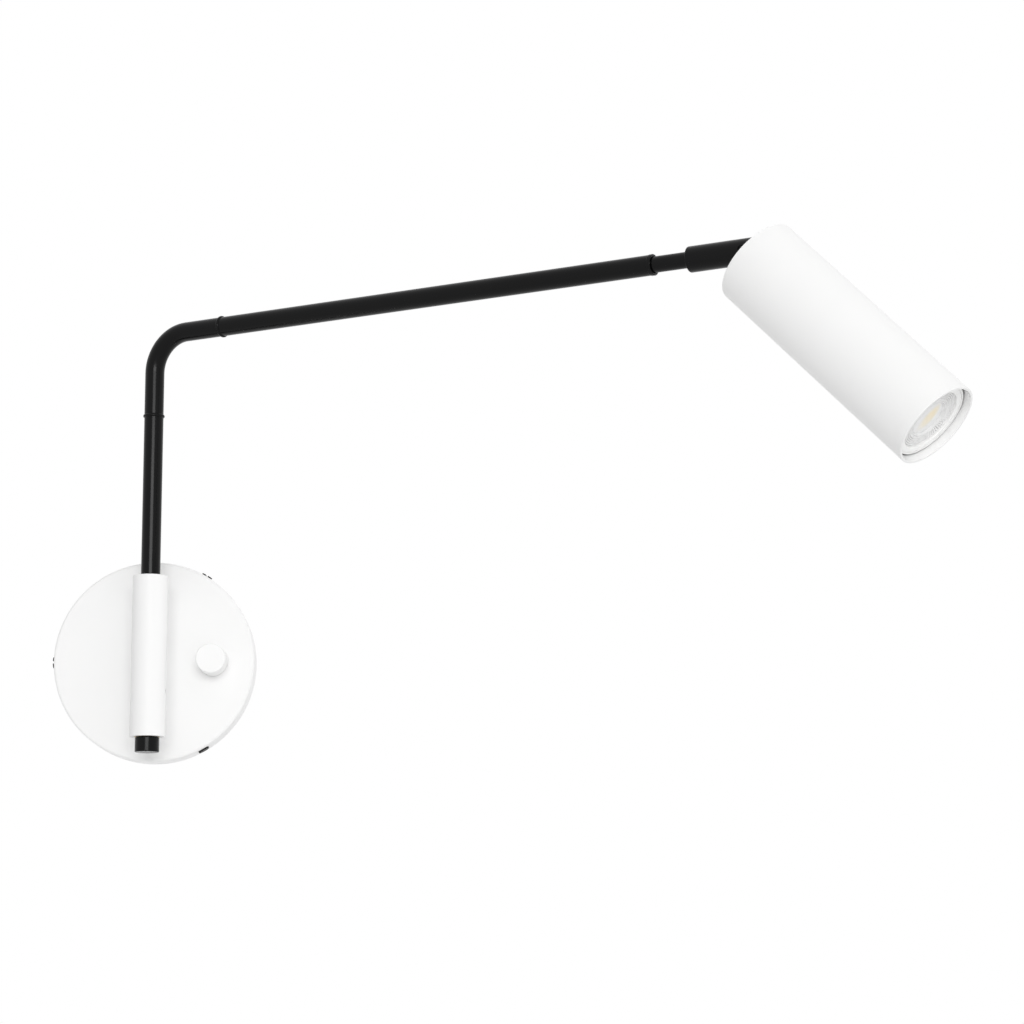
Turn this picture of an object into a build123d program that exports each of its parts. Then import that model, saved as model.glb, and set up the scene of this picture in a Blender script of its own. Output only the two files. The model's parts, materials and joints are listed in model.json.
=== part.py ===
from build123d import *
import os

os.makedirs("parts", exist_ok=True)

# A swing arm wall sconce: round canopy, upright barrel, bent arm tube and a tilting cylinder head.
# Millimetres, +Z up. The wall is the XZ plane and the sconce stands out from it towards -Y.
# The origin is the centre of the canopy's open back. The pose is arm 30 degrees off the wall, head 45 down.

# Fits: radial gaps between screwed or pressed pieces, between turning pieces, and round what stays free
FIXED_GAP = 0.02
RUN_GAP = 0.05
FREE_GAP = 0.3

# Pose
SWING_DEG = 30.0
TILT_DEG = 45.0

# Canopy and the slotted screws on its rim, one for each slot's turn in degrees
CANOPY_D = 133.35
CANOPY_DEPTH = 19.05
CANOPY_WALL = 1.2
CANOPY_EDGE_R = 1.7
CANOPY_INNER_R = 0.5
RIM_SCREW_D = 7.4
RIM_SCREW_PROUD = 1.0
RIM_SCREW_OUT = 12.0
RIM_SCREW_TAIL = 3.0
RIM_SLOT_W = 1.8
RIM_SLOT_TURNS = (0.0, 65.0, 0.0)
SLOT_W = 1.2
SLOT_DEPTH = 1.2

# Wall bracket with folded tabs, its earth screw and the terminal block on it
BRACKET_D = 108.0
BRACKET_T = 1.5
BRACKET_WIRE_D = 36.0
TAB_W = 14.0
TAB_GAP = 0.8
TAB_BEND_R = 2.5
BOX_SCREW_PITCH = 88.9
BOX_SLOT_W = 4.8
BOX_SLOT_L = 12.0
EARTH_SCREW_D = 4.0
EARTH_HEAD_D = 8.0
EARTH_HEAD_H = 2.6
EARTH_X = -24.0
EARTH_Z = 30.0
BLOCK_POLES = 3
BLOCK_PITCH = 10.0
BLOCK_W = 16.0
BLOCK_H = 10.0
BLOCK_X = -33.0
BLOCK_ENTRY_D = 3.6
BLOCK_WELL_D = 4.4
BLOCK_WELL_DEPTH = 3.0

# Cable, from the canopy through the tubes to the head
CABLE_D = 5.5
CABLE_GAP = 0.3
CABLE_TURN_R = 7.0
CABLE_RISE = 14.0

# Stand-off between canopy and barrel, with its hollow threaded nipple
BARREL_REACH = 28.0
STANDOFF_D = 14.0
NIPPLE_IN = 10.0
NIPPLE_TAIL = 2.0
LOCK_NUT_AF = 16.0
LOCK_NUT_T = 4.0
LOCK_WASHER_D = 20.0
LOCK_WASHER_T = 1.2

# Rotary dimmer and its knob
KNOB_FROM_EDGE = 27.375
KNOB_D = 19.5
KNOB_FRONT = 18.5
KNOB_EDGE_R = 0.8
KNOB_RECESS_D = 14.0
DIMMER_D = 26.0
DIMMER_H = 11.0
DIMMER_BUSH_D = 8.4
DIMMER_BUSH_OUT = 4.4
DIMMER_NUT_AF = 11.0
DIMMER_NUT_T = 2.0
DIMMER_WASHER_D = 12.0
DIMMER_WASHER_T = 0.6
SHAFT_D = 6.0
SHAFT_IN = 4.0
SHAFT_OUT = 14.0
SHAFT_FLAT = 1.5

# Barrel that the upright turns in
BARREL_D = 23.0
BARREL_LEN = 106.0
BARREL_BORE = 16.6
BARREL_EDGE_R = 0.4
BUSH_LEN = 16.0
COLLAR_LEN = 6.0
TENSION_SCREW_D = 3.0
TENSION_SCREW_UP = 30.0
TENSION_SCREW_SUNK = 0.4
TENSION_SLOT_W = 0.6
CAP_D = 15.875
CAP_LEN = 9.7
CAP_SPIGOT = 9.0
CAP_EDGE_R = 0.5

# Upright, elbow and arm tubes, joined by nipples with a bead ring at each joint
TUBE_D = 12.7
TUBE_WALL = 1.3
ARM_HEIGHT = 215.0
ELBOW_R = 25.4
ELBOW_LEG = 54.6
BEAD_D = 14.3
BEAD_W = 2.2
TUBE_NIPPLE_LEN = 24.0
WINDOW_H = 14.0
WINDOW_PAST = 3.1

# Arm end, neck and the swivel sleeve that turns on the neck
ARM_REACH = 371.6
END_RING_D = 13.2
END_RING_W = 2.7
END_RING_R = 0.5
NECK_IN = 20.0
NECK_SHOWN = 24.0
NECK_GRIP = 17.0
CLIP_T = 1.0
CLIP_DEPTH = 0.6
CLIP_D = 11.8
CLIP_MOUTH = 4.0
SLEEVE_D = 16.0
SLEEVE_TO_PIN = 37.5
SLEEVE_EDGE_R = 0.6
SLEEVE_WELL_D = 12.6
FORK_TIP_GAP = 0.8

# Tilt hinge
PIN_D = 4.0
PIN_SUNK = 0.9
TONGUE_T = 5.0
TONGUE_R = 6.5
FRICTION_T = 0.5
FRICTION_D = 12.0
STUD_D = 8.0
STUD_NUT_AF = 13.0
STUD_NUT_T = 4.0
STUD_WASHER_D = 13.6
STUD_WASHER_T = 1.0
STUD_TAIL = 1.5

# Head shell
HEAD_GAP = 10.4
HEAD_D = 55.5
HEAD_LEN = 156.5
HEAD_WALL = 1.5
HEAD_REAR = 2.0
HEAD_EDGE_R = 0.4
LEAD_SIDE = 14.5
GROMMET_D = 10.0
GROMMET_LIP_D = 12.0
GROMMET_LIP_T = 1.2

# Lamp holder and the strap that carries it
STRAP_W = 14.0
STRAP_T = 1.2
STRAP_BEND_R = 2.5
STRAP_SPAN = 44.0
STRAP_FOOT = 14.0
HOLDER_D = 32.0
HOLDER_LEN = 22.0
HOLDER_EDGE_R = 1.5
HOLDER_SCREW_D = 3.0
HOLDER_SCREW_HEAD_D = 5.6
HOLDER_SCREW_HEAD_T = 1.8
HOLDER_SCREW_IN = 8.0
HOLDER_SCREW_SIDE = 11.5
PIN_SPACING = 10.0
LAMP_PIN_D = 3.2
LAMP_PIN_HEAD_D = 5.0
LAMP_PIN_HEAD_T = 2.0
LAMP_PIN_LEN = 7.0

# Twist-lock reflector lamp, 50 mm across its face
LAMP_D = 50.0
LAMP_LEN = 54.0
LAMP_RECESS = 4.7
LAMP_OPEN_D = 40.0
LAMP_WALL = 1.5
LAMP_NECK_D = 28.0
LAMP_NECK_LEN = 14.0
LAMP_SHOULDER_D = 34.0
LAMP_SHOULDER = 19.0
LAMP_CAVITY = 14.0
LAMP_RIM = 8.0
RING_T = 3.0
RING_EDGE_R = 0.5
RING_GROOVE_D = 47.2
RING_GROOVE_W = 0.5
LENS_FLANGE_T = 2.0
LENS_STEP = 1.2
LENS_EYE_D = 18.4
LENS_EYE_DEPTH = 0.6
LENS_TIP_D = 15.0
LENS_POCKET_D = 12.6
LENS_POCKET_DEPTH = 5.0
BOARD_D = 30.0
BOARD_T = 1.6
CHIP_D = 11.0
CHIP_T = 0.8

# Sizes and places that follow from the ones above
CANOPY_IN = CANOPY_DEPTH - CANOPY_WALL
RIM_SCREW_COUNT = len(RIM_SLOT_TURNS)
BARREL_OUT = CANOPY_DEPTH + BARREL_REACH
BARREL_TOP = BARREL_LEN / 2
TUBE_BORE = TUBE_D - 2 * TUBE_WALL
NIPPLE_D = TUBE_BORE - 2 * FIXED_GAP
WIRE_BORE = CABLE_D + 2 * CABLE_GAP
LOWER_BEAD_Z = ARM_HEIGHT - ELBOW_LEG
CAP_TOP = -BARREL_TOP - FREE_GAP
TAB_FACE = CANOPY_D / 2 - CANOPY_WALL - TAB_GAP
TAB_LEN = CANOPY_IN - FREE_GAP
KNOB_X = CANOPY_D / 2 - KNOB_FROM_EDGE
KNOB_BACK = CANOPY_DEPTH + FREE_GAP
SLEEVE_START = ARM_REACH + END_RING_W + NECK_SHOWN
NECK_END = SLEEVE_START + NECK_GRIP
CLIP_START = NECK_END - 2 * CLIP_T
PIVOT_REACH = SLEEVE_START + SLEEVE_TO_PIN
FORK_TIP_R = HEAD_GAP - FORK_TIP_GAP
FORK_SLOT = TONGUE_T + 2 * (FRICTION_T + RUN_GAP)
FORK_ROOT = PIVOT_REACH - TONGUE_R - 3 * FREE_GAP
SHELL_FLOOR = HEAD_GAP + HEAD_REAR
SHELL_MOUTH = HEAD_GAP + HEAD_LEN
LAMP_FRONT = SHELL_MOUTH - LAMP_RECESS
LAMP_BACK = LAMP_FRONT - LAMP_LEN
HOLDER_BACK = LAMP_BACK - HOLDER_LEN
RING_BACK = LAMP_FRONT - RING_T
BOARD_BACK = LAMP_FRONT - LAMP_CAVITY
CHIP_BACK = BOARD_BACK + BOARD_T
LAMP_RIM_D = LAMP_D - 2 * LAMP_WALL
LENS_D = LAMP_RIM_D - 2 * LAMP_WALL

# Frames: out from the wall, about the barrel, with the swung arm, along the arm, along the head
WALL = Plane(origin=(0, 0, 0), x_dir=(1, 0, 0), z_dir=(0, -1, 0)).location
DIMMER = WALL * Pos(KNOB_X, 0, 0)
POST = Location((0, -BARREL_OUT, 0))
SWUNG = POST * Rot(0, 0, -SWING_DEG)
ARM = SWUNG * Pos(0, 0, ARM_HEIGHT) * Rot(0, 90, 0)
HEAD = SWUNG * Pos(PIVOT_REACH, 0, ARM_HEIGHT) * Rot(0, 90 + TILT_DEG, 0)

STANDING = (Align.CENTER, Align.CENTER, Align.MIN)
ACROSS = Rot(90, 0, 0)
SIDEWAYS = Rot(0, 90, 0)


def rod(diameter, start, end):
    return Pos(0, 0, start) * Cylinder(diameter / 2, end - start, align=STANDING)


def tube(outer, inner, start, end):
    return rod(outer, start, end) - rod(inner, start, end)


def hexagon(across_flats, start, end):
    return Pos(0, 0, start) * extrude(RegularPolygon(across_flats / 2, 6, major_radius=False), end - start)


def turned(*outline):
    return revolve(Plane.XZ * make_face(Polyline(*outline, close=True)), Axis.Z)


def rounded(solid, radius, ends=(0, -1)):
    groups = solid.edges().filter_by(GeomType.CIRCLE).group_by(Axis.Z)
    return fillet([edge for end in ends for edge in groups[end]], radius)


def bent_strip(corners, width, thickness, bend):
    path = Plane.XZ * FilletPolyline(*corners, radius=bend)
    return sweep((path ^ 0) * Rectangle(thickness, width), path=path)


def around(count, piece, first=0.0):
    return [Rot(0, 0, first + 360 / count * i) * piece for i in range(count)]


def both_sides(piece):
    return [piece, Rot(0, 0, 180) * piece]


def slotted(screw_d, start, end, slot_w):
    cut = Pos(0, 0, end) * Box(screw_d + 1, slot_w, 2 * SLOT_DEPTH)
    return rod(screw_d, start, end) - cut


# Canopy and bracket, drawn outwards from the wall
def rim_place(piece):
    places = around(RIM_SCREW_COUNT, Pos(0, 0, RIM_SCREW_OUT) * SIDEWAYS, first=180)
    return [place * Rot(0, 0, turn) * piece for place, turn in zip(places, RIM_SLOT_TURNS)]


def make_canopy():
    cup = rounded(rod(CANOPY_D, 0, CANOPY_DEPTH), CANOPY_EDGE_R, ends=(-1,))
    cup -= rounded(rod(CANOPY_D - 2 * CANOPY_WALL, 0, CANOPY_IN), CANOPY_INNER_R, ends=(-1,))
    cup -= rod(NIPPLE_D + 2 * FIXED_GAP, 0, CANOPY_DEPTH)
    cup -= Pos(KNOB_X, 0, 0) * rod(DIMMER_BUSH_D + 2 * FIXED_GAP, 0, CANOPY_DEPTH)
    cup -= rim_place(rod(RIM_SCREW_D + 2 * FREE_GAP, TAB_FACE, CANOPY_D / 2 + 1))
    return cup


def make_wall_bracket():
    plate = rod(BRACKET_D, 0, BRACKET_T)
    middle = BRACKET_T / 2
    fold = TAB_FACE - middle
    tab = bent_strip(((0, middle), (fold, middle), (fold, TAB_LEN)), TAB_W, BRACKET_T, TAB_BEND_R)
    plate += around(RIM_SCREW_COUNT, tab, first=180)
    plate -= rod(BRACKET_WIRE_D, 0, BRACKET_T)
    slot = Rot(0, 0, 90) * extrude(SlotOverall(BOX_SLOT_L, BOX_SLOT_W), BRACKET_T)
    plate -= both_sides(Pos(0, BOX_SCREW_PITCH / 2, 0) * slot)
    plate -= Pos(EARTH_X, EARTH_Z, 0) * rod(EARTH_SCREW_D + 2 * FIXED_GAP, 0, BRACKET_T)
    plate -= rim_place(rod(RIM_SCREW_D + 2 * FIXED_GAP, TAB_FACE - 2 * BRACKET_T, TAB_FACE + 1))
    return plate


def make_rim_screws():
    tail = TAB_FACE - BRACKET_T - RIM_SCREW_TAIL
    screw = slotted(RIM_SCREW_D, tail, CANOPY_D / 2 + RIM_SCREW_PROUD, RIM_SLOT_W)
    return Compound(rim_place(screw))


def make_earth_screw():
    head_top = BRACKET_T + EARTH_HEAD_H
    screw = rod(EARTH_SCREW_D, 0, BRACKET_T) + rod(EARTH_HEAD_D, BRACKET_T, head_top)
    screw -= Pos(0, 0, head_top) * Box(EARTH_HEAD_D + 1, SLOT_W, 2 * SLOT_DEPTH)
    return Pos(EARTH_X, EARTH_Z, 0) * screw


def make_terminal_block():
    length = BLOCK_POLES * BLOCK_PITCH
    block = Box(BLOCK_W, length, BLOCK_H, align=STANDING)
    entry = Pos(-BLOCK_W, 0, BLOCK_H / 2) * SIDEWAYS * rod(BLOCK_ENTRY_D, 0, 2 * BLOCK_W)
    well = rod(BLOCK_WELL_D, BLOCK_H - BLOCK_WELL_DEPTH, BLOCK_H)
    for pole in range(BLOCK_POLES):
        middle = (pole + 0.5) * BLOCK_PITCH - length / 2
        block -= Pos(0, middle, 0) * entry
        block -= [Pos(side * BLOCK_W / 4, middle, 0) * well for side in (-1, 1)]
    return Pos(BLOCK_X, 0, BRACKET_T) * block


# Stand-off, its nipple and the cable through it
def make_standoff():
    post = rod(STANDOFF_D, CANOPY_DEPTH, BARREL_OUT)
    post -= Pos(0, 0, BARREL_OUT) * ACROSS * Cylinder(BARREL_D / 2, 2 * STANDOFF_D)
    post -= rod(NIPPLE_D + 2 * FIXED_GAP, CANOPY_DEPTH, CANOPY_DEPTH + NIPPLE_IN)
    return post - rod(WIRE_BORE, CANOPY_DEPTH, BARREL_OUT)


def make_standoff_nipple():
    back = CANOPY_IN - LOCK_WASHER_T - LOCK_NUT_T - NIPPLE_TAIL
    return tube(NIPPLE_D, WIRE_BORE, back, CANOPY_DEPTH + NIPPLE_IN)


def make_lock_washer():
    return tube(LOCK_WASHER_D, NIPPLE_D + 2 * FIXED_GAP, CANOPY_IN - LOCK_WASHER_T, CANOPY_IN)


def make_lock_nut():
    front = CANOPY_IN - LOCK_WASHER_T
    return hexagon(LOCK_NUT_AF, front - LOCK_NUT_T, front) - rod(NIPPLE_D + 2 * FIXED_GAP, 0, front)


def make_supply_cable():
    back = CANOPY_IN - LOCK_WASHER_T - LOCK_NUT_T - 2 * NIPPLE_TAIL
    corner = (0, 0, BARREL_OUT)
    route = FilletPolyline((0, 0, back), corner, (0, CABLE_RISE, BARREL_OUT), radius=CABLE_TURN_R)
    return sweep(Plane((0, 0, back), z_dir=(0, 0, 1)) * Circle(CABLE_D / 2), path=route)


# Dimmer and knob, drawn outwards from the wall about the knob's axis
def d_shaft(diameter, start, end):
    flat = Pos(diameter - SHAFT_FLAT, 0, (start + end) / 2) * Box(diameter, diameter, end - start)
    return rod(diameter, start, end) - flat


def make_dimmer_body():
    body = rounded(rod(DIMMER_D, CANOPY_IN - DIMMER_H, CANOPY_IN), KNOB_EDGE_R, ends=(0,))
    return body - rod(SHAFT_D + 2 * RUN_GAP, CANOPY_IN - SHAFT_IN - FREE_GAP, CANOPY_IN)


def make_dimmer_bush():
    return tube(DIMMER_BUSH_D, SHAFT_D + 2 * RUN_GAP, CANOPY_IN, CANOPY_DEPTH + DIMMER_BUSH_OUT)


def make_dimmer_washer():
    bore = DIMMER_BUSH_D + 2 * FIXED_GAP
    return tube(DIMMER_WASHER_D, bore, CANOPY_DEPTH, CANOPY_DEPTH + DIMMER_WASHER_T)


def make_dimmer_nut():
    back = CANOPY_DEPTH + DIMMER_WASHER_T
    nut = hexagon(DIMMER_NUT_AF, back, back + DIMMER_NUT_T)
    return nut - rod(DIMMER_BUSH_D + 2 * FIXED_GAP, back, back + DIMMER_NUT_T)


def make_dimmer_shaft():
    flat_start = CANOPY_DEPTH + DIMMER_BUSH_OUT + FREE_GAP
    return rod(SHAFT_D, CANOPY_IN - SHAFT_IN, flat_start) + d_shaft(
        SHAFT_D, flat_start, CANOPY_DEPTH + SHAFT_OUT
    )


def make_knob():
    recess_end = CANOPY_DEPTH + DIMMER_BUSH_OUT + FREE_GAP
    knob = rounded(rod(KNOB_D, KNOB_BACK, CANOPY_DEPTH + KNOB_FRONT), KNOB_EDGE_R, ends=(-1,))
    knob -= rod(KNOB_RECESS_D, KNOB_BACK, recess_end)
    return knob - d_shaft(SHAFT_D + 2 * FIXED_GAP, recess_end, CANOPY_DEPTH + SHAFT_OUT)


# Barrel and what stays in it, drawn upwards about the barrel's axis
def tension_place(piece):
    return Pos(0, 0, TENSION_SCREW_UP - BARREL_TOP) * SIDEWAYS * piece


def make_barrel():
    barrel = tube(BARREL_D, BARREL_BORE, -BARREL_TOP, BARREL_TOP)
    barrel = rounded(barrel, BARREL_EDGE_R)
    barrel -= ACROSS * rod(WIRE_BORE, -BARREL_D, 0)
    return barrel - tension_place(rod(TENSION_SCREW_D + 2 * FIXED_GAP, 0, BARREL_D))


def make_bush(start):
    outer = BARREL_BORE - 2 * FIXED_GAP
    return tube(outer, TUBE_D + 2 * RUN_GAP, start, start + BUSH_LEN)


def make_tension_screw():
    start = BARREL_BORE / 2
    end = BARREL_D / 2 - TENSION_SCREW_SUNK
    return tension_place(slotted(TENSION_SCREW_D, start, end, TENSION_SLOT_W))


def make_tension_pad():
    pad = rod(TENSION_SCREW_D, 0, BARREL_BORE / 2)
    return tension_place(pad) - rod(TUBE_D + 2 * RUN_GAP, -BARREL_TOP, BARREL_TOP)


# Swinging pieces, the upright ones drawn about the barrel's axis
def make_upright_tube():
    upright = tube(TUBE_D, TUBE_BORE, CAP_TOP, LOWER_BEAD_Z - BEAD_W / 2)
    window = Box(TUBE_D, 2 * TUBE_D, WINDOW_H, align=(Align.MAX, Align.CENTER, Align.CENTER))
    return upright - Pos(WINDOW_PAST, 0, 0) * window


def make_thrust_collar():
    start = -BARREL_TOP + BUSH_LEN + RUN_GAP
    return tube(BARREL_BORE - 2 * FREE_GAP, TUBE_D + 2 * FIXED_GAP, start, start + COLLAR_LEN)


def make_end_cap():
    cap = rounded(rod(CAP_D, CAP_TOP - CAP_LEN, CAP_TOP), CAP_EDGE_R)
    return cap + rod(TUBE_BORE - 2 * FIXED_GAP, CAP_TOP, CAP_TOP + CAP_SPIGOT)


def make_bead_ring():
    bore = NIPPLE_D / 2 + FIXED_GAP
    side = TUBE_D / 2
    half = BEAD_W / 2
    outline = Polyline((side, half), (bore, half), (bore, -half), (side, -half))
    bulge = ThreePointArc((side, -half), (BEAD_D / 2, 0), (side, half))
    return revolve(Plane.XZ * make_face(outline + bulge), Axis.Z)


def make_tube_nipple():
    return tube(NIPPLE_D, WIRE_BORE, -TUBE_NIPPLE_LEN / 2, TUBE_NIPPLE_LEN / 2)


def arm_route(start, end):
    return FilletPolyline((0, 0, start), (0, 0, ARM_HEIGHT), (end, 0, ARM_HEIGHT), radius=ELBOW_R)


def make_elbow_tube():
    start = LOWER_BEAD_Z + BEAD_W / 2
    route = arm_route(start, ELBOW_LEG - BEAD_W / 2)
    ring = Plane((0, 0, start)) * (Circle(TUBE_D / 2) - Circle(TUBE_BORE / 2))
    return sweep(ring, path=route)


def make_arm_cable():
    start = CABLE_RISE + FREE_GAP
    route = arm_route(start, NECK_END + CABLE_GAP)
    return sweep(Plane((0, 0, start)) * Circle(CABLE_D / 2), path=route)


# Arm end and swivel, drawn along the arm from the barrel's axis
def make_arm_tube():
    return tube(TUBE_D, TUBE_BORE, ELBOW_LEG + BEAD_W / 2, ARM_REACH)


def make_arm_end_ring():
    ring = tube(END_RING_D, NIPPLE_D + 2 * FIXED_GAP, ARM_REACH, ARM_REACH + END_RING_W)
    return rounded(ring, END_RING_R)


def make_neck_tube():
    neck = tube(NIPPLE_D, WIRE_BORE, ARM_REACH - NECK_IN, NECK_END)
    groove_d = NIPPLE_D - 2 * CLIP_DEPTH
    return neck - tube(NIPPLE_D + 1, groove_d, CLIP_START, CLIP_START + CLIP_T)


def make_neck_clip():
    bore = NIPPLE_D - 2 * CLIP_DEPTH + 2 * FIXED_GAP
    clip = tube(CLIP_D, bore, CLIP_START + FIXED_GAP, CLIP_START + CLIP_T - FIXED_GAP)
    mouth = Box(CLIP_D, CLIP_MOUTH, 3 * CLIP_T, align=(Align.MIN, Align.CENTER, Align.CENTER))
    return clip - Pos(0, 0, CLIP_START) * mouth


def make_swivel_sleeve():
    pin_place = Pos(0, 0, PIVOT_REACH) * ACROSS
    fork_end = PIVOT_REACH + FORK_TIP_R
    sleeve = rounded(rod(SLEEVE_D, SLEEVE_START, PIVOT_REACH), SLEEVE_EDGE_R, ends=(0,))
    sleeve += rod(SLEEVE_D, PIVOT_REACH, fork_end) & pin_place * Cylinder(FORK_TIP_R, 2 * SLEEVE_D)
    sleeve -= rod(NIPPLE_D + 2 * RUN_GAP, SLEEVE_START, CLIP_START)
    sleeve -= rod(SLEEVE_WELL_D, CLIP_START, FORK_ROOT)
    slot = Box(2 * SLEEVE_D, FORK_SLOT, fork_end - FORK_ROOT, align=STANDING)
    sleeve -= Pos(0, 0, FORK_ROOT) * slot
    return sleeve - pin_place * Cylinder(PIN_D / 2 + FIXED_GAP, 2 * SLEEVE_D)


def make_hinge_pin():
    return Pos(0, 0, PIVOT_REACH) * ACROSS * Cylinder(PIN_D / 2, SLEEVE_D - 2 * PIN_SUNK)


def make_friction_washers():
    near = TONGUE_T / 2 + RUN_GAP
    washer = tube(FRICTION_D, PIN_D + 2 * FIXED_GAP, near, near + FRICTION_T)
    return Compound(both_sides(Pos(0, 0, PIVOT_REACH) * ACROSS * washer))


# Head, drawn forwards from the tilt pin along the head's axis
def make_hinge_tongue():
    knuckle = ACROSS * Cylinder(TONGUE_R, TONGUE_T)
    stem = Box(2 * TONGUE_R, TONGUE_T, HEAD_GAP, align=STANDING)
    stud_end = SHELL_FLOOR + STRAP_T + STUD_WASHER_T + STUD_NUT_T + STUD_TAIL
    tongue = knuckle + stem + rod(STUD_D, HEAD_GAP, stud_end)
    return tongue - ACROSS * Cylinder(PIN_D / 2 + RUN_GAP, 2 * TONGUE_T)


def make_stud_washer():
    start = SHELL_FLOOR + STRAP_T
    return tube(STUD_WASHER_D, STUD_D + 2 * FIXED_GAP, start, start + STUD_WASHER_T)


def make_stud_nut():
    start = SHELL_FLOOR + STRAP_T + STUD_WASHER_T
    nut = hexagon(STUD_NUT_AF, start, start + STUD_NUT_T)
    return nut - rod(STUD_D + 2 * FIXED_GAP, start, start + STUD_NUT_T)


def make_head_shell():
    shell = rounded(rod(HEAD_D, HEAD_GAP, SHELL_MOUTH), HEAD_EDGE_R)
    shell -= rod(HEAD_D - 2 * HEAD_WALL, SHELL_FLOOR, SHELL_MOUTH)
    shell -= rod(STUD_D + 2 * FIXED_GAP, HEAD_GAP, SHELL_FLOOR)
    return shell - Pos(LEAD_SIDE, 0, 0) * rod(GROMMET_D + 2 * FIXED_GAP, HEAD_GAP, SHELL_FLOOR)


def make_lead_grommet():
    grommet = rod(GROMMET_D, HEAD_GAP, SHELL_FLOOR)
    grommet += rod(GROMMET_LIP_D, SHELL_FLOOR, SHELL_FLOOR + GROMMET_LIP_T)
    return Pos(LEAD_SIDE, 0, 0) * (grommet - rod(WIRE_BORE, HEAD_GAP, SHELL_FLOOR + GROMMET_LIP_T))


def make_head_cable():
    return Pos(LEAD_SIDE, 0, 0) * rod(CABLE_D, HEAD_GAP, HOLDER_BACK)


def make_holder_strap():
    side = (STRAP_SPAN - STRAP_T) / 2
    low = SHELL_FLOOR + STRAP_T / 2
    high = HOLDER_BACK - STRAP_T / 2
    toe = STRAP_SPAN / 2 - STRAP_FOOT
    route = ((toe, high), (side, high), (side, low), (-side, low), (-side, high), (-toe, high))
    strap = Rot(0, 0, 90) * bent_strip(route, STRAP_W, STRAP_T, STRAP_BEND_R)
    hole = rod(HOLDER_SCREW_D + 2 * FIXED_GAP, HOLDER_BACK - 2 * STRAP_T, HOLDER_BACK)
    strap -= both_sides(Pos(0, HOLDER_SCREW_SIDE, 0) * hole)
    return strap - rod(STUD_D + 2 * FIXED_GAP, SHELL_FLOOR, SHELL_FLOOR + STRAP_T)


def make_holder_screws():
    seat = HOLDER_BACK - STRAP_T
    screw = rod(HOLDER_SCREW_HEAD_D, seat - HOLDER_SCREW_HEAD_T, seat)
    screw += rod(HOLDER_SCREW_D, seat, HOLDER_BACK + HOLDER_SCREW_IN)
    return Compound(both_sides(Pos(0, HOLDER_SCREW_SIDE, 0) * screw))


def make_lamp_holder():
    holder = rounded(rod(HOLDER_D, HOLDER_BACK, LAMP_BACK), HOLDER_EDGE_R)
    screw_hole = rod(HOLDER_SCREW_D + 2 * FIXED_GAP, HOLDER_BACK, HOLDER_BACK + HOLDER_SCREW_IN)
    holder -= both_sides(Pos(0, HOLDER_SCREW_SIDE, 0) * screw_hole)
    socket = rod(LAMP_PIN_HEAD_D + 2 * FREE_GAP, LAMP_BACK - LAMP_PIN_LEN - FREE_GAP, LAMP_BACK)
    return holder - both_sides(Pos(PIN_SPACING / 2, 0, 0) * socket)


def make_lamp_pins():
    pin = rod(LAMP_PIN_D, LAMP_BACK - LAMP_PIN_LEN, LAMP_BACK)
    head_start = LAMP_BACK - LAMP_PIN_LEN
    pin += rod(LAMP_PIN_HEAD_D, head_start, head_start + LAMP_PIN_HEAD_T)
    return Compound(both_sides(Pos(PIN_SPACING / 2, 0, 0) * pin))


def make_lamp_body():
    rim = LAMP_RIM_D / 2
    seat = RING_BACK - LENS_FLANGE_T
    well = rim - 2 * LAMP_WALL
    return turned(
        (0, LAMP_BACK),
        (LAMP_NECK_D / 2, LAMP_BACK),
        (LAMP_NECK_D / 2, LAMP_BACK + LAMP_NECK_LEN),
        (LAMP_SHOULDER_D / 2, LAMP_BACK + LAMP_SHOULDER),
        (rim, LAMP_FRONT - LAMP_RIM),
        (rim, RING_BACK),
        (rim - LAMP_WALL, RING_BACK),
        (rim - LAMP_WALL, seat),
        (well, seat),
        (well, LAMP_FRONT - LAMP_RIM),
        (BOARD_D / 2 + FIXED_GAP, CHIP_BACK),
        (BOARD_D / 2 + FIXED_GAP, BOARD_BACK),
        (0, BOARD_BACK),
    )


def make_lamp_ring():
    skirt_start = LAMP_FRONT - LAMP_RIM + LAMP_WALL
    ring = tube(LAMP_D, LAMP_OPEN_D, RING_BACK, LAMP_FRONT)
    ring = rounded(ring, RING_EDGE_R, ends=(-1,))
    groove_in = RING_GROOVE_D - 2 * RING_GROOVE_W
    ring -= tube(RING_GROOVE_D, groove_in, LAMP_FRONT - RING_GROOVE_W, LAMP_FRONT)
    return ring + tube(LAMP_D, LAMP_RIM_D + 2 * FIXED_GAP, skirt_start, RING_BACK)


def make_lamp_lens():
    seat = RING_BACK - LENS_FLANGE_T
    face = LAMP_FRONT - LENS_STEP
    flange = LENS_D / 2 - FIXED_GAP
    front = LAMP_OPEN_D / 2 - FIXED_GAP
    pocket_end = CHIP_BACK + CHIP_T + LENS_POCKET_DEPTH
    return turned(
        (0, pocket_end),
        (LENS_POCKET_D / 2, pocket_end - LENS_POCKET_DEPTH / 3),
        (LENS_POCKET_D / 2, CHIP_BACK),
        (LENS_TIP_D / 2, CHIP_BACK),
        (front - LAMP_WALL, seat),
        (flange, seat),
        (flange, RING_BACK),
        (front, RING_BACK),
        (front, face),
        (LENS_EYE_D / 2, face),
        (LENS_EYE_D / 2, face - LENS_EYE_DEPTH),
        (0, face - LENS_EYE_DEPTH),
    )


def make_led_board():
    return rod(BOARD_D, BOARD_BACK, CHIP_BACK)


def make_led_chip():
    return rod(CHIP_D, CHIP_BACK, CHIP_BACK + CHIP_T)


LOWER_JOINT = SWUNG * Pos(0, 0, LOWER_BEAD_Z)
UPPER_JOINT = ARM * Pos(0, 0, ELBOW_LEG)

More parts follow.
